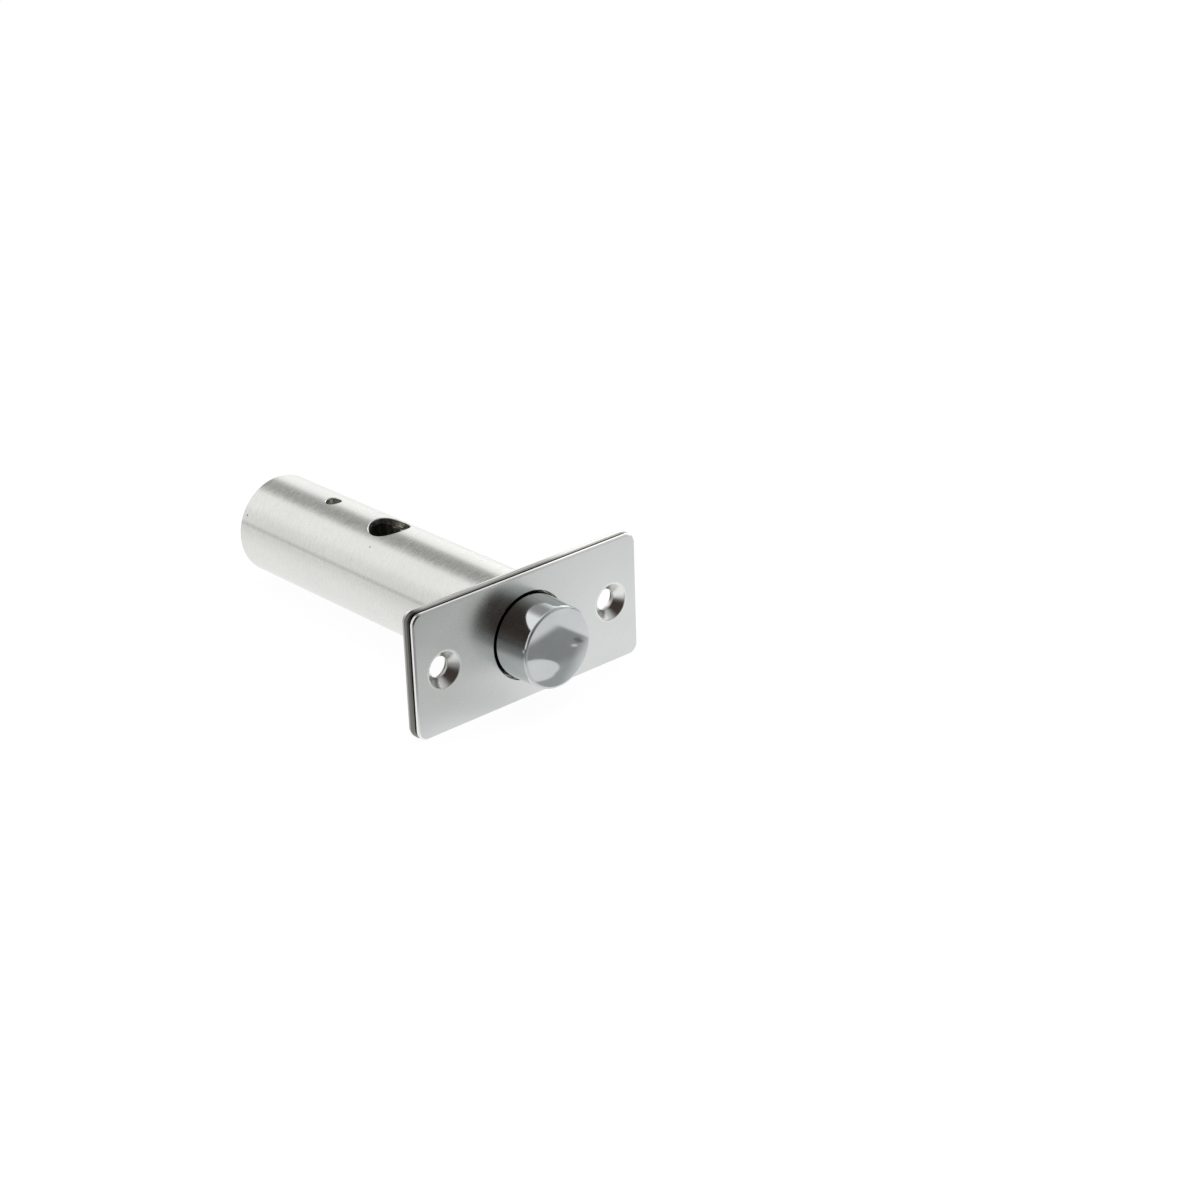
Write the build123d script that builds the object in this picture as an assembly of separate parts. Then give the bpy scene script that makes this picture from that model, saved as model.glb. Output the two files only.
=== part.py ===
from build123d import *
import math
import os

# Rack bolt for a door edge, in millimetres. The plane y = 0 is the back of the mounting plate,
# which seats on the door edge. X runs along the plates, +Y back into the door, and Z is up.
# The bolt is thrown towards -Y. All places on the bolt are given as it stands at rest, part thrown.

# Plates
plate_length = 52.8
plate_height = 24.5
plate_corner_radius = 2.0
mounting_margin = 0.1
mounting_thickness = 1.8
mounting_front_chamfer = 0.2
mounting_rim_width = 0.8
mounting_rim_drop = 0.3
plate_gap = 0.4
cover_thickness = 0.95
cover_front_chamfer = 0.25
cover_back_chamfer = 0.2
cover_hole_clearance = 0.3

# Screw dimples, pressed into the cover plate and seated in countersinks of the mounting plate.
# The end distance runs from a screw's axis to the nearer end of the cover plate.
screw_end_distance = 6.4
screw_head_diameter = 7.1
screw_hole_diameter = 4.1
dimple_cone_depth = 1.65
dimple_land = 0.45
dimple_wall = 0.75
dimple_lip_round = 0.5
seat_clearance = 0.03

# Case: a turned tube. A cone behind its front spigot seats in the back of the mounting plate's hole,
# and the spigot is staked there.
case_diameter = 20.0
case_wall = 1.25
case_edge_chamfer = 0.25
hole_rim_chamfer = 0.15
seat_cone_depth = 0.8
spigot_clearance = 0.02
nose_bearing_length = 6.0
nose_clearance = 0.1

# Bolt and its travel. The nose is a step smaller than the body, and tapers a little towards its tip.
nose_step = 0.45
nose_taper = 0.35
nose_taper_length = 7.8
nose_rim_round = 0.4
rest_projection = 7.8
full_throw = 12.0
body_clearance = 0.1
shoulder_chamfer = 0.15
body_edge_chamfer = 0.5
stop_clearance = 0.1

# Key way: the splined key turns on an axis through the case and drives the rack
backset = 40.0
key_hole_diameter = 8.0
key_spline_count = 8
rack_module = 0.75
rack_backlash = 0.1
pressure_angle = 20.0
key_clearance = 0.35
slot_corner_radius = 1.5
rack_end_land = 0.6

# Guide pin, pressed into the underside of the case and running in a groove of the bolt
guide_pin_diameter = 3.0
guide_pin_chamfer = 0.2
guide_pin_fit = 0.01
guide_pin_recess = 0.15
groove_clearance = 0.1
groove_depth = 2.2
groove_tip_gap = 0.3
groove_web = 1.5

# Detent: a sprung ball in the bolt drops into a hole in the case at full throw
detent_ball_diameter = 4.0
detent_ball_gap = 0.03
detent_bore_clearance = 0.05
detent_bore_depth = 10.7
detent_hole_diameter = 3.1
detent_to_tail = 3.8
tail_land = 0.45
spring_wire_diameter = 0.45
spring_side_clearance = 0.3
spring_seat_gap = 0.03
spring_turns = 3.5
spring_wire_sides = 6

# End cap: a shallow pressed cup that closes the back of the case
cap_wall = 0.8
cap_depth = 2.0
cap_recess = 0.3
cap_fit = 0.02
cap_running_gap = 0.4
cap_inner_round = 0.5

# How near two values lie to count as the same
tolerance = 0.001

# Planes and radii worked out from the sizes above
plate_stack = mounting_thickness + plate_gap + cover_thickness
front_y = -plate_stack
screw_x = plate_length / 2 - screw_end_distance
case_radius = case_diameter / 2
bore_radius = case_radius - case_wall
body_radius = bore_radius - body_clearance
nose_radius = body_radius - nose_step
tip_radius = nose_radius - nose_taper
cover_hole_radius = nose_radius + cover_hole_clearance
spigot_radius = case_radius - seat_cone_depth
rim_flat = nose_rim_round * (1 - math.sqrt(0.5))
bearing_y = nose_bearing_length - mounting_thickness
out_travel = full_throw - rest_projection
back_travel = rest_projection
nose_tip_y = front_y - rest_projection
shoulder_y = bearing_y + out_travel + stop_clearance

# The key's splines mesh with the rack on a pitch line to the +X side of the key axis
key_y = front_y + backset
pitch_radius = rack_module * key_spline_count / 2
key_radius = pitch_radius + rack_module
tooth_tip_x = pitch_radius - rack_module
tooth_root_x = pitch_radius + 1.25 * rack_module
tooth_pitch = math.pi * rack_module
slot_front_y = key_y - back_travel - key_radius - key_clearance
slot_rear_y = key_y + out_travel + key_radius + key_clearance

# The guide pin stops the bolt when it is drawn back flush, and stays in its groove at full throw
guide_pin_radius = guide_pin_diameter / 2
groove_half_width = guide_pin_radius + groove_clearance
groove_front_y = slot_rear_y + groove_web
guide_pin_y = groove_front_y + stop_clearance + guide_pin_radius + back_travel
tail_y = guide_pin_y + out_travel + guide_pin_radius + tail_land

detent_ball_radius = detent_ball_diameter / 2
detent_bore_radius = detent_ball_radius + detent_bore_clearance
detent_ball_y = tail_y - detent_to_tail
detent_hole_y = detent_ball_y - out_travel
detent_ball_z = bore_radius - detent_ball_radius - detent_ball_gap
detent_floor_z = body_radius - detent_bore_depth

cap_front_y = tail_y + back_travel + cap_running_gap
case_rear_y = cap_front_y + cap_depth + cap_recess


def turned(points):
    """A solid of revolution about the Y axis, from a closed outline of (radius, y) points."""
    outline = Polyline(*[(0, y, radius) for radius, y in points], close=True)
    return revolve(make_face(outline), Axis.Y)


def rounded_plate(y_front, y_back, margin=0.0):
    """A flat plate with rounded corners between two planes across Y, larger all round by the margin."""
    outline = RectangleRounded(plate_length + 2 * margin, plate_height + 2 * margin, plate_corner_radius)
    return extrude(Plane.XZ.offset(-y_back) * outline, amount=y_back - y_front)


def hole_across(radius, y, z_low, z_high):
    """A drill standing along Z on the case's middle line."""
    return Pos(0, y, z_low) * Cylinder(radius, z_high - z_low, align=(Align.CENTER, Align.CENTER, Align.MIN))


def edges_at(piece, y):
    """The edges of a piece that lie in the plane at y."""
    level = piece.edges().filter_by(lambda edge: edge.bounding_box().size.Y < tolerance)
    return level.filter_by(lambda edge: abs(edge.center().Y - y) < tolerance)


def upper_rims(case):
    """The outer rims of the holes in the top of the case: curves on its outside that aren't level in Y."""
    curves = case.edges().filter_by(GeomType.LINE, reverse=True)
    across = curves.filter_by(lambda edge: edge.bounding_box().size.Y > tolerance)
    middles = [(edge, edge @ 0.5) for edge in across]
    return [edge for edge, place in middles if abs(math.hypot(place.X, place.Z) - case_radius) < tolerance]


def dimple_front_radius(depth):
    """Radius of the dimple's visible cone at a depth below the cover's face."""
    slope = (screw_head_diameter - screw_hole_diameter) / 2 / dimple_cone_depth
    return screw_head_diameter / 2 - slope * depth


def dimple_back_radius(depth):
    """Radius of the dimple's hidden cone, one wall thickness behind the visible one."""
    slope = (screw_head_diameter - screw_hole_diameter) / 2 / dimple_cone_depth
    return dimple_front_radius(depth) + dimple_wall * math.sqrt(1 + slope * slope)


def cover_plate():
    """The polished face plate: thin sheet with a bolt hole and two pressed screw dimples."""
    plate = rounded_plate(front_y, front_y + cover_thickness)
    plate = chamfer(edges_at(plate, front_y), cover_front_chamfer)
    plate = chamfer(edges_at(plate, front_y + cover_thickness), cover_back_chamfer)
    plate -= turned([
        (0, front_y - 1),
        (cover_hole_radius, front_y - 1),
        (cover_hole_radius, 0),
        (0, 0),
    ])
    dimple_depth = dimple_cone_depth + dimple_land
    skirt = turned([
        (0, front_y + cover_thickness / 2),
        (dimple_back_radius(cover_thickness), front_y + cover_thickness / 2),
        (dimple_back_radius(cover_thickness), front_y + cover_thickness),
        (dimple_back_radius(dimple_depth), front_y + dimple_depth),
        (0, front_y + dimple_depth),
    ])
    mouth = turned([
        (0, front_y),
        (dimple_front_radius(0), front_y),
        (screw_hole_diameter / 2, front_y + dimple_cone_depth),
        (screw_hole_diameter / 2, front_y + dimple_depth),
        (0, front_y + dimple_depth),
    ])
    for side in (-1, 1):
        place = Pos(side * screw_x, 0, 0)
        plate = plate + place * skirt - place * mouth
    circles = edges_at(plate, front_y).filter_by(GeomType.CIRCLE)
    lips = circles.filter_by(lambda edge: abs(edge.radius - screw_head_diameter / 2) < tolerance)
    return fillet(lips, dimple_lip_round)


def mounting_plate():
    """The thicker plate behind the cover, which is let into the door edge and carries the case."""
    plate = rounded_plate(-mounting_thickness, 0, mounting_margin)
    plate = chamfer(edges_at(plate, -mounting_thickness), mounting_front_chamfer)
    back = plate.faces().sort_by(Axis.Y)[-1]
    plate = chamfer(back.edges(), mounting_rim_drop, mounting_rim_width, reference=back)
    spigot_hole = spigot_radius + spigot_clearance
    plate -= turned([
        (0, -mounting_thickness),
        (spigot_hole, -mounting_thickness),
        (spigot_hole, -seat_cone_depth),
        (case_radius + spigot_clearance, 0),
        (0, 0),
    ])
    seat_top = cover_thickness + plate_gap
    seat_bottom = dimple_cone_depth + dimple_land + seat_clearance
    countersink = turned([
        (0, front_y + seat_top),
        (dimple_back_radius(seat_top) + seat_clearance, front_y + seat_top),
        (dimple_back_radius(seat_bottom) + seat_clearance, front_y + seat_bottom),
        (dimple_back_radius(seat_bottom) + seat_clearance, 0),
        (0, 0),
    ])
    for side in (-1, 1):
        plate -= Pos(side * screw_x, 0, 0) * countersink
    return plate


def case_tube():
    """The turned case: spigot and nose bearing in front, and one long bore from the back."""
    nose_bore = nose_radius + nose_clearance
    case = turned([
        (nose_bore, -mounting_thickness),
        (spigot_radius, -mounting_thickness),
        (spigot_radius, -seat_cone_depth),
        (case_radius, 0),
        (case_radius, case_rear_y - case_edge_chamfer),
        (case_radius - case_edge_chamfer, case_rear_y),
        (bore_radius, case_rear_y),
        (bore_radius, bearing_y),
        (nose_bore, bearing_y),
    ])
    case -= hole_across(key_hole_diameter / 2, key_y, 0, case_radius)
    case -= hole_across(detent_hole_diameter / 2, detent_hole_y, 0, case_radius)
    case = chamfer(upper_rims(case), hole_rim_chamfer)
    case -= hole_across(guide_pin_radius + guide_pin_fit, guide_pin_y, -case_radius, 0)
    return case


def rack_slot():
    """The key slot through the bolt: a plain wall on one side and rack teeth on the other."""
    slot_length = slot_rear_y - slot_front_y
    slot_middle_y = (slot_rear_y + slot_front_y) / 2
    plain_wall_x = -(key_radius + key_clearance)
    slot_width = tooth_tip_x - plain_wall_x
    outline = Pos(plain_wall_x + slot_width / 2, slot_middle_y) * RectangleRounded(
        slot_width, slot_length, slot_corner_radius
    )
    flank = math.tan(math.radians(pressure_angle))
    half_at_pitch = (tooth_pitch / 2 + rack_backlash) / 2
    half_at_tip = half_at_pitch + rack_module * flank
    half_at_root = half_at_pitch - (tooth_root_x - pitch_radius) * flank
    rack_length = slot_length - 2 * (slot_corner_radius + rack_end_land)
    gap_count = int((rack_length - 2 * half_at_tip) / tooth_pitch) + 1
    for index in range(gap_count):
        gap_y = slot_middle_y + (index - (gap_count - 1) / 2) * tooth_pitch
        outline += make_face(Polyline(
            (0, gap_y - half_at_tip),
            (tooth_tip_x, gap_y - half_at_tip),
            (tooth_root_x, gap_y - half_at_root),
            (tooth_root_x, gap_y + half_at_root),
            (tooth_tip_x, gap_y + half_at_tip),
            (0, gap_y + half_at_tip),
            close=True,
        ))
    return extrude(Pos(0, 0, -case_radius) * outline, amount=case_diameter)


def guide_groove():
    """The groove under the bolt's tail, round at its front end and open at the back."""
    floor_z = -body_radius + groove_depth
    end_y = groove_front_y + groove_half_width
    straight = Pos(0, (end_y + case_rear_y) / 2) * Rectangle(2 * groove_half_width, case_rear_y - end_y)
    outline = straight + Pos(0, end_y) * Circle(groove_half_width)
    return extrude(Pos(0, 0, -case_radius) * outline, amount=case_radius + floor_z)


def bolt():
    """The bolt, turned from one bar and then milled: nose, body, rack slot, detent bore and groove."""
    bar = turned([
        (0, nose_tip_y),
        (tip_radius - nose_rim_round, nose_tip_y),
        (tip_radius - rim_flat, nose_tip_y + rim_flat),
        (tip_radius, nose_tip_y + nose_rim_round),
        (nose_radius, nose_tip_y + nose_taper_length),
        (nose_radius, shoulder_y),
        (body_radius - shoulder_chamfer, shoulder_y),
        (body_radius, shoulder_y + shoulder_chamfer),
        (body_radius, tail_y - body_edge_chamfer),
        (body_radius - body_edge_chamfer, tail_y),
        (0, tail_y),
    ])
    bar -= rack_slot()
    bar -= hole_across(detent_bore_radius, detent_ball_y, detent_floor_z, case_radius)
    bar -= guide_groove()
    return bar


def guide_pin():
    """The dowel that keeps the bolt from turning and stops it when it is drawn back."""
    outer_z = -(case_radius - guide_pin_recess)
    tip_z = -body_radius + groove_depth - groove_tip_gap
    pin = hole_across(guide_pin_radius, guide_pin_y, outer_z, tip_z)
    ends = pin.edges().filter_by(GeomType.CIRCLE)
    return chamfer(ends, guide_pin_chamfer)


def detent_ball():
    return Pos(0, detent_ball_y, detent_ball_z) * Sphere(detent_ball_radius)


def detent_spring():
    """The coil that pushes the ball out, from the floor of its bore to the ball's underside."""
    wire_radius = spring_wire_diameter / 2
    coil_radius = detent_bore_radius - spring_side_clearance - wire_radius
    reach = detent_ball_radius + spring_seat_gap + wire_radius
    bottom_z = detent_floor_z + spring_seat_gap + wire_radius
    top_z = detent_ball_z - math.sqrt(reach * reach - coil_radius * coil_radius)
    coil = Helix(pitch=(top_z - bottom_z) / spring_turns, height=top_z - bottom_z, radius=coil_radius)
    section = Plane(origin=coil @ 0, z_dir=coil % 0) * RegularPolygon(wire_radius, spring_wire_sides)
    return Pos(0, detent_ball_y, bottom_z) * sweep(section, path=coil, is_frenet=True)


def end_cap():
    """The pressed cup in the back of the case, with its open side to the back."""
    rim_radius = bore_radius - cap_fit
    rim_y = cap_front_y + cap_depth
    return turned([
        (0, cap_front_y),
        (rim_radius - cap_inner_round, cap_front_y),
        (rim_radius, cap_front_y + cap_inner_round),
        (rim_radius, rim_y),
        (rim_radius - cap_wall, rim_y),
        (rim_radius - cap_wall, cap_front_y + cap_wall),
        (0, cap_front_y + cap_wall),
    ])


pieces = {
    "cover_plate": cover_plate(),
    "mounting_plate": mounting_plate(),
    "case_tube": case_tube(),
    "bolt": bolt(),
    "guide_pin": guide_pin(),
    "detent_ball": detent_ball(),
    "detent_spring": detent_spring(),
    "end_cap": end_cap(),
}

os.makedirs("parts", exist_ok=True)
for name, piece in pieces.items():
    export_step(piece, f"parts/{name}.step")
    print(name, round(piece.volume, 2))
print("case rear y", round(case_rear_y, 3), "detent hole y", round(detent_hole_y, 3))
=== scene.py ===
# %% [markdown]
# # A rack bolt for a door edge
# A rack bolt is a round security bolt that hides in the edge of a door. A splined key goes in
# through the hole in the tube and turns against a rack cut in the bolt, which slides the bolt out.
# The CAD model holds every piece at its real size, so this lesson makes only one piece of its own,
# a copy of the spring that rides on the bolt. It sets the camera, a plain white studio and one
# finish for each piece, because on polished steel the finish and what it mirrors are nearly all
# that the eye sees.

# %% Load the CAD model as a fixed frame
import math

import bmesh
import bpy
from mathutils import Matrix, Vector


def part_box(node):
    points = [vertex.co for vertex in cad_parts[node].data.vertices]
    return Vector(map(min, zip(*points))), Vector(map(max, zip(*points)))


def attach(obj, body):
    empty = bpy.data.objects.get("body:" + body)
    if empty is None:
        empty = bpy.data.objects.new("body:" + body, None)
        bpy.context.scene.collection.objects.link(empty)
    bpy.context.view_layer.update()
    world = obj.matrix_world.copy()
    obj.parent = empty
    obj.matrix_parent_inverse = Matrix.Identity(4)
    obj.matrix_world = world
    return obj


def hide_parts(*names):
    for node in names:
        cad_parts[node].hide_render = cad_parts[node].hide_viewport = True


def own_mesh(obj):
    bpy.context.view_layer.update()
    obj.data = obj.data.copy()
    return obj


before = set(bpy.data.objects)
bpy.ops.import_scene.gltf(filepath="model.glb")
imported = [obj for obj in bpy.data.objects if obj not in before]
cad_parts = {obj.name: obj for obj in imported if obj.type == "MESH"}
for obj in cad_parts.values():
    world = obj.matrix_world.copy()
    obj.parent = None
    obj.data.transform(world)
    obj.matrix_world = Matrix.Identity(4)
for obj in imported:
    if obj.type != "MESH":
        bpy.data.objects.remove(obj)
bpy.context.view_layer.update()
bpy.ops.object.select_all(action="DESELECT")
for name in sorted(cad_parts):
    low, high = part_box(name)
    print(name, [round(1000 * side, 2) for side in high - low], "mm")

# %% [markdown]
# The finishes need a few places on the object. Those on the outside are measured on the CAD boxes,
# so that they can't disagree with them. Three sizes that no box shows are written down instead.
# Every length in this lesson is in metres, unless its name says mm.

# %% Measure the places that the finishes use
FRONT_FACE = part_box("cover_plate")[0].y
PLATE_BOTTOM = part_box("mounting_plate")[0].z
TUBE_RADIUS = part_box("case_tube")[1].x
TUBE_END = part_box("case_tube")[1].y
SCREW_SPACING = 0.040
BORE_RADIUS = 0.00875
BOLT_HOLE_RADIUS = 0.0085
print("front face", FRONT_FACE, "tube radius", TUBE_RADIUS, "tube end", TUBE_END)

# %% [markdown]
# ## The camera
# The view was found by fitting the bolt's known circles and edges to what is seen, so the camera
# has a measured place, a direction and a small roll. Blender's camera looks along its own -Z with
# +Y up, so the three directions become the columns of its matrix.

# %% Place the camera
CAMERA_PLACE = Vector((-0.28536, -0.34331, 0.20867))
CAMERA_AZIMUTH, CAMERA_ELEVATION, CAMERA_ROLL = map(math.radians, (41.662, 24.487, -1.827))
SENSOR_WIDTH_MM, LENS_MM = 36, 81.2
NEAREST_SEEN, FARTHEST_SEEN = 0.01, 20


def toward(azimuth, elevation):
    """The unit vector at an angle round from +Y towards +X, and an angle above the horizon."""
    level = math.cos(elevation)
    return Vector((math.sin(azimuth) * level, math.cos(azimuth) * level, math.sin(elevation)))


look = toward(CAMERA_AZIMUTH, -CAMERA_ELEVATION)
level_right = look.cross(Vector((0, 0, 1))).normalized()
level_up = level_right.cross(look)
right = math.cos(CAMERA_ROLL) * level_right + math.sin(CAMERA_ROLL) * level_up
up = math.cos(CAMERA_ROLL) * level_up - math.sin(CAMERA_ROLL) * level_right
turned = Matrix((right, up, -look)).transposed()

bpy.ops.object.camera_add()
camera = bpy.context.object
camera.matrix_world = Matrix.Translation(CAMERA_PLACE) @ turned.to_4x4()
camera.data.sensor_width = SENSOR_WIDTH_MM
camera.data.lens = LENS_MM
camera.data.clip_start, camera.data.clip_end = NEAREST_SEEN, FARTHEST_SEEN
bpy.context.scene.camera = camera
print("camera looks along", [round(v, 3) for v in look])

# %% [markdown]
# ## A kit for shader nodes
# Every finish, and the room too, is a net of shader nodes. The functions below add one node each
# and return what comes out of it, so that a finish reads from top to bottom like a recipe. The
# ones that return a mask give 1 where something applies, 0 where it doesn't, and a slope between.

# %% Functions that add a node
X_AXIS, Y_AXIS, TO_THE_LEFT = (1, 0, 0), (0, 1, 0), (-1, 0, 0)
# Where the mix node keeps its first input, its second input and its result, for each kind.
MIX_SOCKETS = {"FLOAT": (2, 3, 0), "VECTOR": (4, 5, 1), "RGBA": (6, 7, 2)}


def add(tree, kind, **settings):
    node = tree.nodes.new(kind)
    for key, value in settings.items():
        setattr(node, key, value)
    return node


def feed(tree, socket, value):
    """Links a socket to another one, or sets it to a plain value."""
    if hasattr(value, "is_linked"):
        tree.links.new(value, socket)
    else:
        socket.default_value = value


def place(tree):
    """A point's place on the object, in metres."""
    return add(tree, "ShaderNodeTexCoord").outputs["Object"]


def stretched(tree, where, scale):
    """A place with its x, y and z each multiplied by a number."""
    node = add(tree, "ShaderNodeVectorMath", operation="MULTIPLY")
    tree.links.new(where, node.inputs[0])
    node.inputs[1].default_value = scale
    return node.outputs[0]


def math_node(tree, operation, first, second=0.0):
    node = add(tree, "ShaderNodeMath", operation=operation)
    feed(tree, node.inputs[0], first)
    feed(tree, node.inputs[1], second)
    return node.outputs[0]


def product(tree, *values):
    result = values[0]
    for value in values[1:]:
        result = math_node(tree, "MULTIPLY", result, value)
    return result


def measure(tree, operation, where, other):
    """One number from two vectors."""
    node = add(tree, "ShaderNodeVectorMath", operation=operation)
    feed(tree, node.inputs[0], where)
    feed(tree, node.inputs[1], other)
    return node.outputs["Value"]


def distance_to(tree, where, centre):
    return measure(tree, "DISTANCE", where, centre)


def along(tree, where, direction):
    return measure(tree, "DOT_PRODUCT", where, direction)


def spread(tree, value, low, high, out_low, out_high, soft=False):
    """Turns low to high into out_low to out_high, and stops at both ends."""
    node = add(tree, "ShaderNodeMapRange", interpolation_type="SMOOTHSTEP" if soft else "LINEAR")
    feed(tree, node.inputs["Value"], value)
    keys = ("From Min", "From Max", "To Min", "To Max")
    for key, number in zip(keys, (low, high, out_low, out_high)):
        node.inputs[key].default_value = number
    return node.outputs["Result"]


def rises(tree, value, low, high, soft=False):
    """A mask that is 0 up to low and 1 from high on."""
    return spread(tree, value, low, high, 0, 1, soft)


def falls(tree, value, low, high, soft=False):
    """A mask that is 1 up to low and 0 from high on."""
    return spread(tree, value, low, high, 1, 0, soft)


def between(tree, value, rise, fall):
    """A mask that rises over one pair of values and falls over another."""
    return product(tree, rises(tree, value, *rise), falls(tree, value, *fall))


def mix_node(tree, kind, factor, first, second):
    node = add(tree, "ShaderNodeMix", data_type=kind)
    at_first, at_second, at_result = MIX_SOCKETS[kind]
    for at, value in ((0, factor), (at_first, first), (at_second, second)):
        feed(tree, node.inputs[at], value)
    return node.outputs[at_result]


def blend(tree, factor, first, second):
    """A number between first and second."""
    return mix_node(tree, "FLOAT", factor, first, second)


def mix(tree, factor, first, second):
    """A colour between first and second."""
    opaque = [(*c, 1) if isinstance(c, tuple) else c for c in (first, second)]
    return mix_node(tree, "RGBA", factor, *opaque)


def shade(tree, value, low, high, colours):
    """The first of two colours where value is low, and the second where it is high."""
    return mix(tree, rises(tree, value, low, high), *colours)


def to_metal(tree):
    """A mask of the rays that a mirroring surface sends out."""
    rays = add(tree, "ShaderNodeLightPath").outputs
    return math_node(tree, "MAXIMUM", rays["Is Glossy Ray"], rays["Is Transmission Ray"])


def to_camera(tree):
    """A mask of the rays that the camera sends out."""
    return add(tree, "ShaderNodeLightPath").outputs["Is Camera Ray"]


print("kit ready")

# %% [markdown]
# ## The studio
# The bolt lies on the lower edge of its plates and the back end of its tube, so the table is tilted
# under it by under two degrees. To the camera the table is plain white with a trace of shadow. To
# the metal it glows less far away and towards the viewer, where the room is dark, and it has a grey
# metal card in front of the bolt, with a light oval and a small painted dark spot with a painted
# light dot beside it. Photographers lay such cards out to give polished metal something to mirror,
# and here only the metal sees it. One corner of the card catches the light, so it is brighter
# there.

# %% Make the table
TABLE_SIZE = 4.0
TILT = math.atan2(-TUBE_RADIUS - PLATE_BOTTOM, TUBE_END)
bpy.ops.mesh.primitive_plane_add(
    size=TABLE_SIZE, location=(0, 0, PLATE_BOTTOM), rotation=(TILT, 0, 0))
table = bpy.context.object
table.name = "table"
print("table tilted by", round(math.degrees(TILT), 2), "degrees")

# %% Work out how brightly the table glows to the metal
CARD_EDGES = [
    # the way out over an edge, how far out the edge is, how soft it is
    ((1, 0, 0), 0.0255, 0.0010),
    ((-1, 0, 0), 0.0255, 0.0010),
    ((0, 1, 0), -0.0187, 0.0010),
    ((-0.249, -0.969, 0), 0.0327, 0.0026),
]
CARD_SPOTS = [
    # x, y, radius, soft edge, its glow
    (0.0077, -0.0272, 0.0043, 0.0006, 0.82),
    (0.0096, -0.0282, 0.0043, 0.0006, 0.82),
    (0.0232, -0.0316, 0.0010, 0.0006, 0.17),
    (0.0235, -0.0327, 0.0010, 0.0006, 0.17),
    (0.0212, -0.0309, 0.0009, 0.0006, 0.75),
]
CARD_GREY, CARD_BACK_GREY, CARD_LEFT_GREY, CARD_LIGHT = 0.31, 0.42, 0.74, 0.87
CARD_BACK_BEGINS = -0.029, -0.025
CARD_LEFT_ENDS = -0.002, 0.0055
LIT_CORNER_WAY, LIT_CORNER_BEGINS = (0.61, 0.79, 0), (-0.0115, -0.0075)
TABLE_FADES = [
    # the way, where the glow begins and stops changing along it, its share there, soft or not
    ((-0.665, -0.747, 0), 0.012, 0.046, 1.0, 0.34, True),  # towards the viewer
    ((0, 1, 0), -0.120, -0.025, 0.65, 1.0, False),  # far out in front
    ((-1, 0, 0), 0.015, 0.055, 1.0, 0.84, False),  # to the left
    ((-1, 0, 0), 0.200, 0.900, 1.0, 0.05, False),  # far to the left
]
TABLE_SHADES = [
    # x, y, radius, its share at the middle
    (-0.0095, -0.013, 0.018, 0.75),
    (0.026, -0.042, 0.022, 0.86),
]


def inside_edges(tree, where, edges):
    """A mask of the shape that some straight edges bound."""
    sides = []
    for way, edge, softness in edges:
        out = along(tree, where, way)
        sides.append(falls(tree, out, edge - softness / 2, edge + softness / 2, soft=True))
    return product(tree, *sides)


def card_glow(tree, where):
    """How brightly the card glows at each place."""
    back = along(tree, where, Y_AXIS)
    grey = spread(tree, back, *CARD_BACK_BEGINS, CARD_GREY, CARD_BACK_GREY, soft=True)
    on_left = falls(tree, along(tree, where, X_AXIS), *CARD_LEFT_ENDS)
    on_corner = rises(tree, along(tree, where, LIT_CORNER_WAY), *LIT_CORNER_BEGINS, soft=True)
    glow = blend(tree, on_corner, blend(tree, on_left, grey, CARD_LEFT_GREY), CARD_LIGHT)
    for x, y, radius, edge, spot in CARD_SPOTS:
        off_spot = distance_to(tree, where, (x, y, 0))
        glow = blend(tree, falls(tree, off_spot, radius - edge, radius, soft=True), glow, spot)
    return glow


def table_glow(tree):
    """How brightly the table glows at each place, with the card on it."""
    where = place(tree)
    shares = [spread(tree, along(tree, where, way), start, stop, first, last, soft)
              for way, start, stop, first, last, soft in TABLE_FADES]
    shares += [spread(tree, distance_to(tree, where, (x, y, 0)), 0, radius, share, 1, soft=True)
               for x, y, radius, share in TABLE_SHADES]
    on_card = inside_edges(tree, where, CARD_EDGES)
    return blend(tree, on_card, product(tree, *shares), card_glow(tree, where))


print("card with", len(CARD_SPOTS), "spots, and", len(TABLE_SHADES), "soft shades on the table")

# %% Finish the table
SHOWN_GLOW = 0.93
SHOWN_GREY = (0.1, 0.1, 0.1, 1)
BOUNCED_GREY = (0.8, 0.8, 0.8, 1)


def plain_paper(tree, colour):
    node = add(tree, "ShaderNodeBsdfDiffuse")
    node.inputs["Color"].default_value = colour
    return node.outputs[0]


def glowing(tree, strength):
    node = add(tree, "ShaderNodeEmission")
    feed(tree, node.inputs["Strength"], strength)
    return node.outputs[0]


def choose(tree, mask, otherwise, chosen):
    """One surface where the mask is 1, and another where it is 0."""
    node = add(tree, "ShaderNodeMixShader")
    for socket, source in zip(node.inputs, (mask, otherwise, chosen)):
        tree.links.new(source, socket)
    return node.outputs[0]


def table_white():
    material = bpy.data.materials.new("table_white")
    material.use_nodes = True
    tree = material.node_tree
    tree.nodes.clear()
    to_others = choose(
        tree, to_metal(tree), plain_paper(tree, BOUNCED_GREY), glowing(tree, table_glow(tree)))
    seen = add(tree, "ShaderNodeAddShader")
    tree.links.new(glowing(tree, SHOWN_GLOW), seen.inputs[0])
    tree.links.new(plain_paper(tree, SHOWN_GREY), seen.inputs[1])
    out = add(tree, "ShaderNodeOutputMaterial")
    tree.links.new(
        choose(tree, to_camera(tree), to_others, seen.outputs[0]), out.inputs["Surface"])
    return material


table.data.materials.append(table_white())
print("table finished")

# %% [markdown]
# Polished metal shows the room. This one is a white tent that is open on the side of the viewer,
# where it is dark brown, with a soft grey panel high up behind the tube. Those two give the tube
# its grey band and the bolt its dark side. The other patches are walls and a ceiling that are
# lighter or darker than the rest, and the horizon is black. Each patch is set by its direction.

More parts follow.
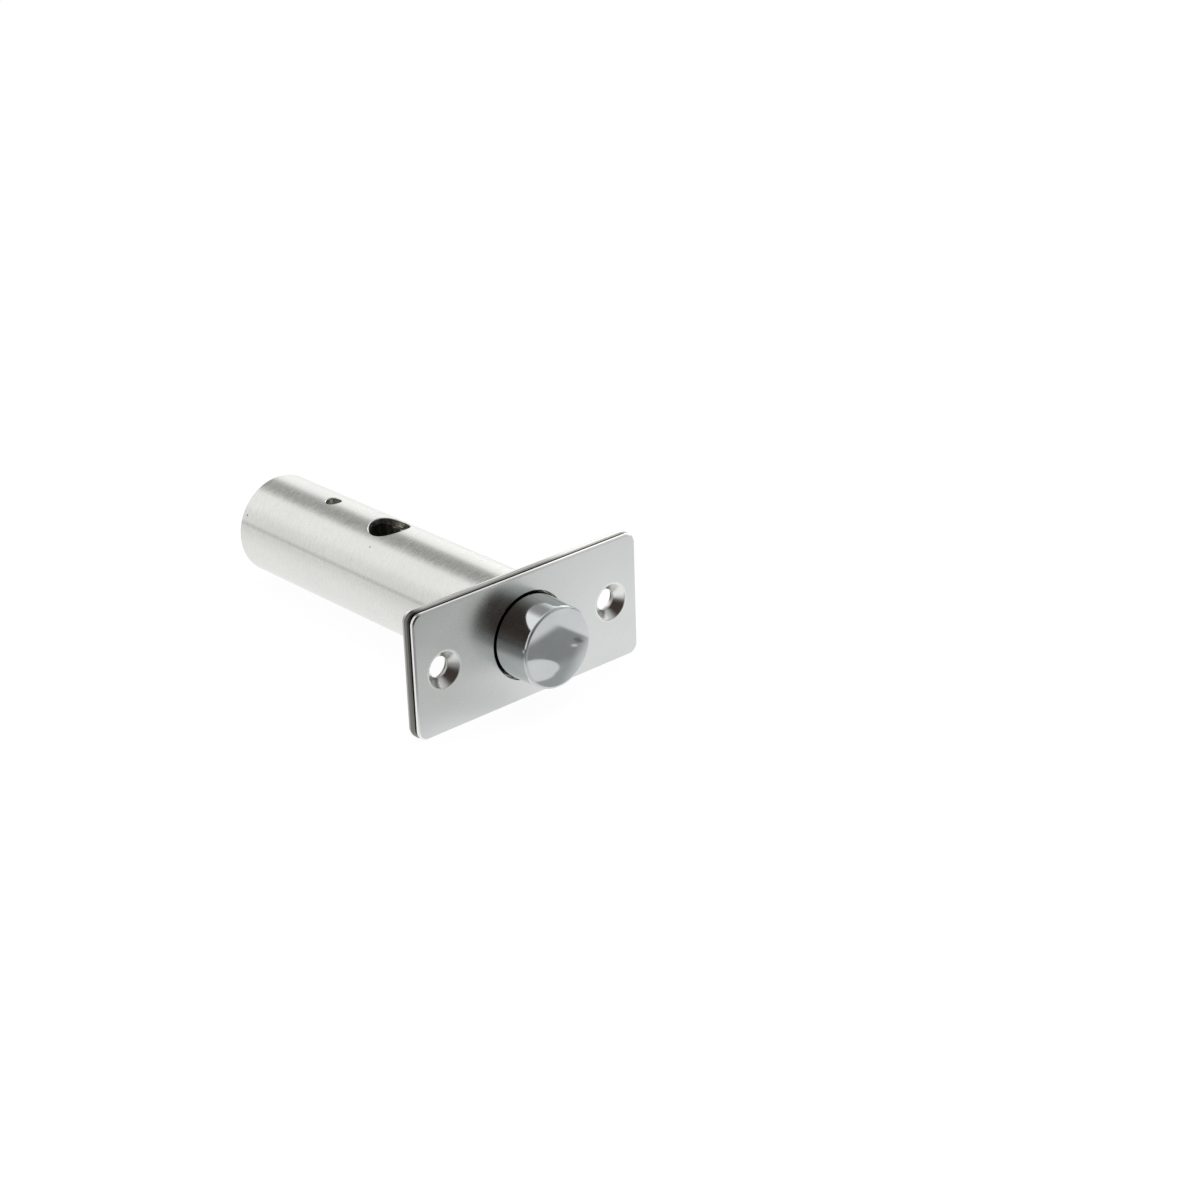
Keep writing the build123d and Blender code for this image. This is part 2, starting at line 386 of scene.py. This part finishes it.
# %% Light the room
ROOM = [
    # what it is, its azimuth and elevation, full within and gone beyond (degrees), its colour
    ("bright wall behind on the right", 50, 3, 10, 38, (1.15, 1.15, 1.15)),
    ("left wall", -50, 6, 5, 30, (0.86, 0.86, 0.85)),
    ("grey panel behind the tube", 20, 42, 6, 22, (0.36, 0.36, 0.35)),
    ("front wall", 145, 30, 15, 40, (0.54, 0.55, 0.55)),
    ("ceiling over the front", 95, 68, 14, 34, (0.50, 0.50, 0.50)),
    ("open side with the viewer", -150, 32, 26, 64, (0.042, 0.030, 0.024)),
]
HORIZON_AND_TENT = (0.0, 0.0, 0.0), (1.04, 1.04, 1.04)
HORIZON_HALF_HEIGHT = 0.085
BOUNCED_LIGHT = (0.8, 0.8, 0.8)
BACKDROP_WHITE = (1, 1, 1)


def room():
    world = bpy.data.worlds.new("white_tent")
    bpy.context.scene.world = world
    world.use_nodes = True
    tree = world.node_tree
    tree.nodes.clear()
    direction = add(tree, "ShaderNodeTexCoord").outputs["Generated"]
    height = add(tree, "ShaderNodeSeparateXYZ")
    tree.links.new(direction, height.inputs[0])
    off_horizon = math_node(tree, "ABSOLUTE", height.outputs["Z"])
    shown = shade(tree, off_horizon, 0.0, HORIZON_HALF_HEIGHT, HORIZON_AND_TENT)
    for _, azimuth, elevation, inner, outer, colour in ROOM:
        middle = toward(math.radians(azimuth), math.radians(elevation))
        edge, core = math.cos(math.radians(outer)), math.cos(math.radians(inner))
        on_patch = rises(tree, along(tree, direction, middle), edge, core, soft=True)
        shown = mix(tree, on_patch, shown, colour)
    lit = mix(tree, to_metal(tree), BOUNCED_LIGHT, shown)
    light = add(tree, "ShaderNodeBackground")
    tree.links.new(mix(tree, to_camera(tree), lit, BACKDROP_WHITE), light.inputs["Color"])
    out = add(tree, "ShaderNodeOutputWorld")
    tree.links.new(light.outputs[0], out.inputs["Surface"])


room()
print("room with", len(ROOM), "patches")

# %% Add the soft lamps
LAMPS = [
    # name, place, width, watts, whether metal mirrors it
    ("top_lamp", (0.10, 0.05, 0.60), 0.40, 0.7, False),
    ("side_lamp", (0.45, 0.25, 0.20), 0.25, 0.2, True),
]
LAMPS_AIM_AT = Vector((0, 0.03, 0))

for name, lamp_place, width, watts, mirrored in LAMPS:
    bpy.ops.object.light_add(type="AREA", location=lamp_place)
    lamp = bpy.context.object
    lamp.name = name
    lamp.data.size = width
    lamp.data.energy = watts
    lamp.visible_glossy = mirrored
    aim = (LAMPS_AIM_AT - lamp.location).to_track_quat("-Z", "Y")
    lamp.rotation_euler = aim.to_euler()
    print(name, "at", lamp_place)

# %% [markdown]
# ## The finishes
# Every finish below starts from the place of a point on the object, in metres, so the grain has
# its real size and stays fixed when the bolt moves. A few more helpers make the noise, the soft
# masks and the bump that all of them share.

# %% Helpers for metal finishes
BEVEL_SAMPLES = 6
# The noise values over which a finish goes from its first colour or gloss to its second.
COLOUR_RANGE, GLOSS_RANGE = (0.35, 0.7), (0.3, 0.7)
POINTS_UP = 0.3, 0.7


def metal(name):
    material = bpy.data.materials.new(name)
    material.use_nodes = True
    tree = material.node_tree
    shader = tree.nodes["Principled BSDF"]
    shader.inputs["Metallic"].default_value = 1.0
    return material, tree, shader


def noise(tree, per_metre, detail=2.0, rough=0.5):
    """Noise with about so many features in a metre along x, y and z."""
    node = add(tree, "ShaderNodeTexNoise")
    node.inputs["Scale"].default_value = 1.0
    node.inputs["Detail"].default_value = detail
    node.inputs["Roughness"].default_value = rough
    tree.links.new(stretched(tree, place(tree), per_metre), node.inputs["Vector"])
    return node.outputs["Fac"]


def length_of(tree, first, second):
    """The length of the long side of a right triangle with these two short sides."""
    squares = product(tree, first, first), product(tree, second, second)
    return math_node(tree, "SQRT", math_node(tree, "ADD", *squares))


def coordinates(tree):
    parts = add(tree, "ShaderNodeSeparateXYZ")
    tree.links.new(place(tree), parts.inputs[0])
    return parts.outputs


def from_axis(tree):
    """How far a point is from the bolt's axis."""
    parts = coordinates(tree)
    return length_of(tree, parts["X"], parts["Z"])


def facing(tree, axis):
    """How squarely a face points along an axis: 1 along it, 0 across it and -1 against it."""
    parts = add(tree, "ShaderNodeSeparateXYZ")
    tree.links.new(add(tree, "ShaderNodeTexCoord").outputs["Normal"], parts.inputs[0])
    return parts.outputs[axis]


def facing_either_way(tree, axis):
    return math_node(tree, "ABSOLUTE", facing(tree, axis))


def on_top(tree):
    """A mask of the faces that point up."""
    return rises(tree, facing(tree, "Z"), *POINTS_UP)


def rubbed_edges(tree, radius):
    """Normals that turn softly round each edge, as on metal that was rubbed down there."""
    node = add(tree, "ShaderNodeBevel", samples=BEVEL_SAMPLES)
    node.inputs["Radius"].default_value = radius
    return node.outputs["Normal"]


def bump(tree, height, depth, strength, under=None):
    """Normals that lean as a surface with this height and depth would, on top of others."""
    node = add(tree, "ShaderNodeBump")
    node.inputs["Strength"].default_value = strength
    node.inputs["Distance"].default_value = depth
    tree.links.new(height, node.inputs["Height"])
    if under is not None:
        tree.links.new(under, node.inputs["Normal"])
    return node.outputs["Normal"]


def wear(tree, shader, **sources):
    """Links sockets of the shader by name, with _ for a space."""
    for name, source in sources.items():
        tree.links.new(source, shader.inputs[name.replace("_", " ")])


def dress(node_name, material):
    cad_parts[node_name].data.materials.clear()
    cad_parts[node_name].data.materials.append(material)
    print(node_name, "wears", material.name)


print("helpers ready")

# %% [markdown]
# ** The tube** was turned and then brushed while it spun, so its grain runs round it. Fine noise that changes quickly along the axis and slowly round it makes that grain, and the shader spreads its reflections along the axis, as fine grooves do. The holes and the bore were left as drilled, so anything inside the outer skin is rougher, and its colour is darker as painted shade. A painted highlight runs along the edge where a hole meets the bore, and two painted highlights, mottled with dark, sit at both ends of the key hole's rim. Two nicks mark the outside, and a faint line along one side is a painted reflection of the horizon.

# %% Turned steel for the tube
SKIN = 0.00008  # how deep the outer skin goes
# A painted highlight along the edge where a hole meets the bore.
BORE_EDGE_HIGHLIGHT_BEGINS = BORE_RADIUS + 0.000008, BORE_RADIUS + 0.000024
BORE_EDGE_HIGHLIGHT_STOPS = BORE_RADIUS + 0.00008, BORE_RADIUS + 0.00020
FINE_GRAIN, SPECKS = (600, 2100, 600), (1300, 3000, 1300)
CLOUDS, CHATTER = (110, 110, 110), (1800, 1800, 1800)
GRAIN_RANGE, CLOUD_RANGE = (0.35, 0.65), (0.4, 0.7)
GLINT_RANGE, WALL_GLINT_RANGE = (0.42, 0.55), (0.40, 0.55)
SPECK_SHARE, MOST_CLOUD, LEAST_WALL_GLINT = 0.35, 0.4, 0.3
SPOT_CORE = 0.3  # the share of a spot's radius that is fully covered
# Painted highlights at both ends of the key hole's rim, mottled with dark by noise, on the skin and
# on the wall.
KEY_HOLE_GLINTS = [((0.0029, 0.0339, 0.0093), 0.0009), ((-0.0009, 0.0405, 0.0094), 0.0009)]
NICKS = [((-0.00616, 0.0351, 0.00788), 0.00030), ((-0.0088, 0.0712, 0.0047), 0.00035)]
# A painted reflection of the horizon, which darkens a narrow line along one side of the tube.
HORIZON_LINE_ANGLE = math.radians(-71.3)
HORIZON_LINE_EDGE = 0.0001, 0.0006
HORIZON_LINE_SIDE = 0.0, 0.001
HORIZON_LINE_STRENGTH = 0.6

GRAIN_COLOURS = (0.69, 0.69, 0.665), (0.80, 0.80, 0.77)
CLOUD_COLOUR = (0.70, 0.70, 0.68)
HORIZON_LINE_COLOUR = (0.60, 0.60, 0.58)
NICK_COLOUR = (0.30, 0.295, 0.28)
# The colours of the painted highlights at the key hole: dark to bright on the skin, bright on the
# wall.
GLINT_COLOURS = (0.15, 0.147, 0.13), (0.95, 0.94, 0.90)
# Inside the skin the colour is darker: painted shade in the holes and the bore.
SHADED_WALL_COLOURS = (0.32, 0.315, 0.27), (0.68, 0.67, 0.60)
WALL_GLINT_COLOUR = (0.93, 0.92, 0.87)

BRUSHED_GLOSS = 0.18, 0.29
DRILLED_GLOSS = 0.42
GRAIN_DEPTH, GRAIN_STRENGTH = 0.00002, 0.5
GROOVE_SPREAD, QUARTER_TURN = 0.4, 0.25
NEARLY_ALIKE = 0.95, 0.99
OFF_AXIS = (1, 0, 1)  # keeps x and z, and drops y
TUBE_END_FACE = 0.8, 0.9


def painted_horizon_line(tree):
    """A mask of a painted reflection of the horizon: a line along one side of the tube."""
    where = place(tree)
    round_tube = (math.cos(HORIZON_LINE_ANGLE), 0, -math.sin(HORIZON_LINE_ANGLE))
    off_line = math_node(tree, "ABSOLUTE", along(tree, where, round_tube))
    on_side = rises(tree, along(tree, where, TO_THE_LEFT), *HORIZON_LINE_SIDE)
    return product(tree, on_side, falls(tree, off_line, *HORIZON_LINE_EDGE, soft=True))


def near_spots(tree, spots):
    """A mask of some round spots, each given by its place and radius."""
    where = place(tree)
    masks = [
        falls(tree, distance_to(tree, where, spot), SPOT_CORE * radius, radius, soft=True)
        for spot, radius in spots
    ]
    near = masks[0]
    for mask in masks[1:]:
        near = math_node(tree, "MAXIMUM", near, mask)
    return near


def round_normal(tree):
    """The mesh's normals, but straight out from the axis where they nearly are, to hide a seam."""
    own = add(tree, "ShaderNodeTexCoord").outputs["Normal"]
    node = add(tree, "ShaderNodeVectorMath", operation="NORMALIZE")
    tree.links.new(stretched(tree, place(tree), OFF_AXIS), node.inputs[0])
    outward = node.outputs[0]
    on_skin = rises(tree, along(tree, own, outward), *NEARLY_ALIKE)
    world = add(tree, "ShaderNodeVectorTransform", vector_type="NORMAL",
                convert_from="OBJECT", convert_to="WORLD")
    tree.links.new(mix_node(tree, "VECTOR", on_skin, own, outward), world.inputs[0])
    return world.outputs[0]


def tube_skin(tree, grain, chatter):
    """The colour of the outside: grain, faint clouds, the painted horizon line, the nicks and the
    painted highlights at the key hole.
    """
    cloud = noise(tree, CLOUDS, detail=3.0)
    brushed = shade(tree, grain, *GRAIN_RANGE, GRAIN_COLOURS)
    in_cloud = spread(tree, cloud, *CLOUD_RANGE, 0, MOST_CLOUD)
    clouded = mix(tree, in_cloud, brushed, CLOUD_COLOUR)
    on_horizon_line = math_node(tree, "MULTIPLY", painted_horizon_line(tree), HORIZON_LINE_STRENGTH)
    with_horizon_line = mix(tree, on_horizon_line, clouded, HORIZON_LINE_COLOUR)
    nicked = mix(tree, near_spots(tree, NICKS), with_horizon_line, NICK_COLOUR)
    glint = shade(tree, chatter, *GLINT_RANGE, GLINT_COLOURS)
    return mix(tree, near_spots(tree, KEY_HOLE_GLINTS), nicked, glint)


def shaded_drilled_wall(tree, radius, chatter):
    """The colour inside: a rough wall painted darker as shade, with a painted highlight at the edge
    of the bore and painted highlights at the key hole.
    """
    wall = shade(tree, chatter, *GRAIN_RANGE, SHADED_WALL_COLOURS)
    bore_edge_highlight = between(tree, radius, rise=BORE_EDGE_HIGHLIGHT_BEGINS, fall=BORE_EDGE_HIGHLIGHT_STOPS)
    glint_mottle = spread(tree, chatter, *WALL_GLINT_RANGE, LEAST_WALL_GLINT, 1)
    wall_glint = product(tree, near_spots(tree, KEY_HOLE_GLINTS), glint_mottle)
    return mix(tree, math_node(tree, "MAXIMUM", bore_edge_highlight, wall_glint), wall, WALL_GLINT_COLOUR)


def turned_steel():
    material, tree, shader = metal("turned_steel")
    fine = noise(tree, FINE_GRAIN, detail=3.0, rough=0.7)
    speck = noise(tree, SPECKS, detail=2.0, rough=0.6)
    grain = blend(tree, SPECK_SHARE, fine, speck)
    chatter = noise(tree, CHATTER, detail=2.0, rough=0.6)
    radius = from_axis(tree)
    under_skin = falls(tree, radius, TUBE_RADIUS - 2 * SKIN, TUBE_RADIUS - SKIN)
    off_ends = falls(tree, facing_either_way(tree, "Y"), *TUBE_END_FACE)
    inside = product(tree, under_skin, off_ends)
    skin, wall = tube_skin(tree, grain, chatter), shaded_drilled_wall(tree, radius, chatter)
    brushed_gloss = spread(tree, grain, *GRAIN_RANGE, *BRUSHED_GLOSS)
    wear(tree, shader,
         Base_Color=mix(tree, inside, skin, wall),
         Roughness=blend(tree, inside, brushed_gloss, DRILLED_GLOSS),
         Normal=bump(tree, grain, GRAIN_DEPTH, GRAIN_STRENGTH, round_normal(tree)),
         Tangent=add(tree, "ShaderNodeTangent", direction_type="RADIAL", axis="Y").outputs[0])
    shader.inputs["Anisotropic"].default_value = GROOVE_SPREAD
    shader.inputs["Anisotropic Rotation"].default_value = QUARTER_TURN
    return material


dress("case_tube", turned_steel())

# %% [markdown]
# **The cover plate** is thin stainless sheet with a satin face. Its edges and the two pressed
# dimples were polished by the tools that cut and pressed them, so they are glossier than the face.
# The press also drew the sheet in a little round each dimple, which shows as a soft ring. Painted
# shade darkens the left half of the top edge, the back, where it lies against the mounting plate,
# and the wall of the bolt's hole, which is black.

# %% Satin steel for the cover plate
SATIN_CLOUDS, SATIN_SPECKS = (160, 160, 160), (3600, 3600, 3600)
SATIN_COLOURS = (0.66, 0.68, 0.667), (0.70, 0.72, 0.705)
CUT_EDGE_COLOUR = (0.95, 0.95, 0.93)
# Painted shade on the left half of the cover's top edge.
TOP_LEFT_SHADE_COLOUR = (0.66, 0.66, 0.645)
DIMPLE_COLOUR = (0.79, 0.79, 0.775)
SCREW_WALL_COLOUR = (0.60, 0.60, 0.59)
# Painted shade between the plates: dark, lighter to the right, and lighter again at the far left
# end.
PLATE_SHADE_COLOURS = (0.07, 0.066, 0.058), (0.62, 0.60, 0.53)
PLATE_SHADE_END_COLOUR = (0.50, 0.49, 0.45)
# Painted shade for the gap round the bolt: the wall of the cover's hole, and a ring on the nose.
GAP_SHADE_COLOUR = (0.05, 0.048, 0.042)

# Where the masks begin and end, across the plate or out from a screw's axis.
PLATE_SHADE_LIGHTENS = 0.004, 0.014
PLATE_SHADE_END_STOPS = -0.0262, -0.0250
TOP_LEFT_SHADE_STOPS = -0.004, 0.008
DIMPLE_RIM = 0.0036, 0.0040
SCREW_HOLE_RIM = 0.00207, 0.00209
DRAWN_IN = 0.0036, 0.0075
BOLT_HOLE_WALL = BOLT_HOLE_RADIUS + 0.00006, BOLT_HOLE_RADIUS + 0.00012

# Where they begin and end as a face turns, with 1 for a face square to the bolt.
CUT_EDGE, BACK_FACE = (0.80, 0.97), (0.5, 0.9)

SATIN_GLOSS = 0.23, 0.31
CUT_EDGE_GLOSS, DIMPLE_GLOSS, SCREW_WALL_GLOSS = 0.12, 0.23, 0.5
PLATE_EDGE_RADIUS = 0.00015
WAVE_DEPTH, WAVE_STRENGTH, CLOUDS_IN_WAVES = 0.00003, 1.0, 0.6
SPECK_DEPTH, SPECK_STRENGTH = 0.000004, 0.2


def from_screw(tree):
    """How far a point is from the nearer screw's axis."""
    parts = coordinates(tree)
    off_middle = math_node(tree, "ABSOLUTE", parts["X"])
    sideways = math_node(tree, "SUBTRACT", off_middle, SCREW_SPACING / 2)
    return length_of(tree, sideways, parts["Z"])


def painted_plate_shade(tree):
    """Painted shade on the faces between the plates, lighter over the right part and at the far
    left end.
    """
    across = along(tree, place(tree), X_AXIS)
    brightened = mix(tree, rises(tree, across, *PLATE_SHADE_LIGHTENS, soft=True), *PLATE_SHADE_COLOURS)
    return mix(tree, falls(tree, across, *PLATE_SHADE_END_STOPS), brightened, PLATE_SHADE_END_COLOUR)


def satin_steel():
    material, tree, shader = metal("satin_steel")
    cloud = noise(tree, SATIN_CLOUDS, detail=4.0, rough=0.6)
    speck = noise(tree, SATIN_SPECKS, detail=2.0, rough=0.6)
    screw = from_screw(tree)
    in_dimple = falls(tree, screw, *DIMPLE_RIM, soft=True)
    in_screw_hole = falls(tree, screw, *SCREW_HOLE_RIM)
    in_bolt_hole = falls(tree, from_axis(tree), *BOLT_HOLE_WALL)
    on_side = falls(tree, facing_either_way(tree, "Y"), *CUT_EDGE, soft=True)
    on_back = rises(tree, facing(tree, "Y"), *BACK_FACE)
    across = along(tree, place(tree), X_AXIS)
    top_left_shade = product(tree, on_top(tree), falls(tree, across, *TOP_LEFT_SHADE_STOPS))

    face = shade(tree, cloud, *COLOUR_RANGE, SATIN_COLOURS)
    cut_edge = mix(tree, top_left_shade, CUT_EDGE_COLOUR, TOP_LEFT_SHADE_COLOUR)
    polished = mix(tree, in_dimple, cut_edge, DIMPLE_COLOUR)
    satin = mix(tree, math_node(tree, "MAXIMUM", in_dimple, on_side), face, polished)
    front = mix(tree, in_screw_hole, satin, SCREW_WALL_COLOUR)
    backed = mix(tree, on_back, front, painted_plate_shade(tree))

    gloss = spread(tree, cloud, *GLOSS_RANGE, *SATIN_GLOSS)
    gloss = blend(tree, on_side, gloss, CUT_EDGE_GLOSS)
    gloss = blend(tree, in_dimple, gloss, DIMPLE_GLOSS)

    drawn_in = rises(tree, screw, *DRAWN_IN, soft=True)
    rolling = math_node(tree, "MULTIPLY", cloud, CLOUDS_IN_WAVES)
    waves = math_node(tree, "ADD", drawn_in, rolling)
    edges = rubbed_edges(tree, PLATE_EDGE_RADIUS)
    soft = bump(tree, waves, WAVE_DEPTH, WAVE_STRENGTH, edges)
    wear(tree, shader,
         Base_Color=mix(tree, in_bolt_hole, backed, GAP_SHADE_COLOUR),
         Roughness=blend(tree, in_screw_hole, gloss, SCREW_WALL_GLOSS),
         Normal=bump(tree, speck, SPECK_DEPTH, SPECK_STRENGTH, soft))
    return material


dress("cover_plate", satin_steel())

# %% [markdown]
# ** The mounting plate** is thicker strip as it came from the rolling mill. It is duller and darker than the cover, with long faint lines from the rolls. Its two short ends were sheared and are darker still. The drawn-down rim along its back is glossier and gets a painted highlight, as does the right half of its top edge, while painted shade darkens the left end of its top. Its hidden front, which lies against the cover, is dark with painted shade.

# %% Rolled steel for the mounting plate
ROLL_LINES, STRIP_CLOUDS = (250, 2500, 5000), (180, 180, 180)
STRIP_COLOURS = (0.34, 0.335, 0.32), (0.46, 0.455, 0.44)
SHEARED_COLOUR = (0.20, 0.195, 0.18)
# Painted shade at the left end of the top.
CORNER_SHADE_COLOUR = (0.12, 0.117, 0.11)
# Painted highlights on the right half of the top and on the back rim.
TOP_HIGHLIGHT_COLOUR = (0.86, 0.855, 0.83)
RIM_HIGHLIGHT_COLOUR = (0.92, 0.91, 0.89)
CORNER_SHADE_STOPS = -0.0245, -0.0225
TOP_HIGHLIGHT_BEGINS = 0.004, 0.012
# As a face turns, with 1 for one that points into the door, or for a short end.
END_FACE, HIDDEN_FACE = (0.3, 0.9), (-0.97, -0.80)
RIM_BEGINS, RIM_STOPS = (0.10, 0.25), (0.5, 0.7)
STRIP_GLOSS = 0.26, 0.36
RIM_GLOSS = 0.12
RIM_HIGHLIGHT_AT_ENDS = 0.15
LINE_DEPTH, LINE_STRENGTH = 0.00001, 0.4


def rolled_steel():
    material, tree, shader = metal("rolled_steel")
    lines = noise(tree, ROLL_LINES, detail=3.0, rough=0.6)
    cloud = noise(tree, STRIP_CLOUDS, detail=4.0, rough=0.6)
    across = along(tree, place(tree), X_AXIS)
    top = on_top(tree)
    back = facing(tree, "Y")
    on_end = rises(tree, facing_either_way(tree, "X"), *END_FACE)
    corner_shade = product(tree, top, falls(tree, across, *CORNER_SHADE_STOPS))
    top_highlight = product(tree, top, rises(tree, across, *TOP_HIGHLIGHT_BEGINS, soft=True))
    on_rim = between(tree, back, rise=RIM_BEGINS, fall=RIM_STOPS)
    brightened = product(tree, on_rim, spread(tree, on_end, 0, 1, 1, RIM_HIGHLIGHT_AT_ENDS))
    # The front lies against the cover and gets painted shade.
    hidden = falls(tree, back, *HIDDEN_FACE)

    strip = shade(tree, cloud, *COLOUR_RANGE, STRIP_COLOURS)
    sheared = mix(tree, on_end, strip, SHEARED_COLOUR)
    corner_shaded = mix(tree, corner_shade, sheared, CORNER_SHADE_COLOUR)
    top_highlighted = mix(tree, top_highlight, corner_shaded, TOP_HIGHLIGHT_COLOUR)
    shown = mix(tree, brightened, top_highlighted, RIM_HIGHLIGHT_COLOUR)
    dull = spread(tree, cloud, *GLOSS_RANGE, *STRIP_GLOSS)
    edges = rubbed_edges(tree, PLATE_EDGE_RADIUS)
    wear(tree, shader,
         Base_Color=mix(tree, hidden, shown, painted_plate_shade(tree)),
         Roughness=blend(tree, brightened, dull, RIM_GLOSS),
         Normal=bump(tree, lines, LINE_DEPTH, LINE_STRENGTH, edges))
    return material


dress("mounting_plate", rolled_steel())

# %% [markdown]
# ** The bolt** is plated on its nose, so that mirrors the room sharply, with a slightly blue tone. A trace of haze and of fine turning marks under the plating keeps it from looking like a computer's perfect mirror, and its rim is a little duller. A thin ring of painted shade marks where it rests in the cover's hole. The body behind the shoulder never shows outside the case. It is greased steel, painted a little darker and browner as shade, which helps the holes in the tube look dark.

# %% Chrome plating and greased steel for the bolt
TURNING_MARKS, HAZE = (300, 3500, 300), (220, 220, 220)
PLATED_TO = 0.0080, 0.0085
# The width of the ring of painted shade where the nose leaves the cover's hole.
GAP_SHADE_WIDTH = 0.00022
NOSE_RIM_BEGINS, NOSE_RIM_STOPS = (-0.98, -0.93), (-0.10, -0.03)
NOSE_EDGE_RADIUS = 0.00025
MARK_DEPTH, MARK_STRENGTH = 0.000004, 0.2
PLATING_COLOURS = (0.63, 0.66, 0.67), (0.68, 0.71, 0.715)
# The body's colour: greased steel, darkened a little as painted shade.
GREASED_AND_SHADED_COLOUR = (0.55, 0.54, 0.48)
PLATING_GLOSS, HAZE_RANGE = (0.035, 0.07), (0.35, 0.75)
NOSE_RIM_GLOSS, GREASED_GLOSS = 0.15, 0.38


def bright_plating():
    material, tree, shader = metal("bright_plating")
    turning = noise(tree, TURNING_MARKS)
    haze = noise(tree, HAZE, detail=4.0, rough=0.6)
    y = along(tree, place(tree), Y_AXIS)
    greased_and_shaded = rises(tree, y, *PLATED_TO)
    gap_shade = between(
        tree, y,
        rise=(FRONT_FACE - GAP_SHADE_WIDTH, FRONT_FACE),
        fall=(FRONT_FACE + GAP_SHADE_WIDTH, FRONT_FACE + 3 * GAP_SHADE_WIDTH))
    on_rim = between(tree, facing(tree, "Y"), rise=NOSE_RIM_BEGINS, fall=NOSE_RIM_STOPS)

    plating = shade(tree, haze, *COLOUR_RANGE, PLATING_COLOURS)
    gap_shaded = mix(tree, gap_shade, plating, GAP_SHADE_COLOUR)
    bright = spread(tree, haze, *HAZE_RANGE, *PLATING_GLOSS)
    edges = rubbed_edges(tree, NOSE_EDGE_RADIUS)
    rimmed = blend(tree, on_rim, bright, NOSE_RIM_GLOSS)
    wear(tree, shader,
         Base_Color=mix(tree, greased_and_shaded, gap_shaded, GREASED_AND_SHADED_COLOUR),
         Roughness=blend(tree, greased_and_shaded, rimmed, GREASED_GLOSS),
         Normal=bump(tree, turning, MARK_DEPTH, MARK_STRENGTH, edges))
    return material


dress("bolt", bright_plating())

# %% [markdown]
# **The small inner pieces** are plain steels: a ground dowel, a polished ball, drawn spring wire
# and a pressed cup. One function makes the four of them from two colours, a gloss and the grain.

# %% Plain steels for the small pieces
PLAIN_STEELS = [
    # piece, finish, darker and lighter colour, gloss, grain in a metre
    ("guide_pin", "ground_steel", (0.50, 0.50, 0.49), (0.60, 0.60, 0.59), 0.22,
     (4000, 4000, 300)),
    ("detent_ball", "ball_steel", (0.72, 0.72, 0.72), (0.77, 0.77, 0.77), 0.08,
     (900, 900, 900)),
    ("detent_spring", "spring_wire", (0.44, 0.44, 0.43), (0.56, 0.56, 0.55), 0.25,
     (2500, 2500, 2500)),
    ("end_cap", "pressed_steel", (0.62, 0.62, 0.60), (0.72, 0.72, 0.70), 0.28,
     (500, 500, 500)),
]
GLOSSIEST, DULLEST = 0.7, 1.3
PLAIN_GRAIN_DEPTH, PLAIN_GRAIN_STRENGTH = 0.00001, 0.3


def plain_steel(name, dark, light, gloss, per_metre):
    material, tree, shader = metal(name)
    grain = noise(tree, per_metre, detail=3.0, rough=0.6)
    wear(tree, shader,
         Base_Color=shade(tree, grain, *GLOSS_RANGE, (dark, light)),
         Roughness=spread(tree, grain, *GLOSS_RANGE, GLOSSIEST * gloss, DULLEST * gloss),
         Normal=bump(tree, grain, PLAIN_GRAIN_DEPTH, PLAIN_GRAIN_STRENGTH))
    return material


for piece, *finish in PLAIN_STEELS:
    dress(piece, plain_steel(*finish))

# %% [markdown]
# ** The detent spring** has to get shorter when the ball is pressed in, which a rigid CAD piece can't do. So a copy of it takes its place. The copy rides on the bolt, with a mesh of its own. The triangles of a CAD piece are loose, so they are joined up first.

# %% Put a joined copy of the spring on the bolt
JOIN_WITHIN = 1e-7

spring = bpy.data.objects.new("springy_coil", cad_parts["detent_spring"].data.copy())
bpy.context.collection.objects.link(spring)
joined = bmesh.new()
joined.from_mesh(spring.data)
bmesh.ops.remove_doubles(joined, verts=joined.verts, dist=JOIN_WITHIN)
joined.to_mesh(spring.data)
joined.free()
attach(spring, "bolt")
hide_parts("detent_spring")
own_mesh(spring)

# %% [markdown]
# ## Finish
# The view transform is Standard, so that colours come out as they are written.

# %% Set the view
bpy.context.scene.view_settings.view_transform = "Standard"
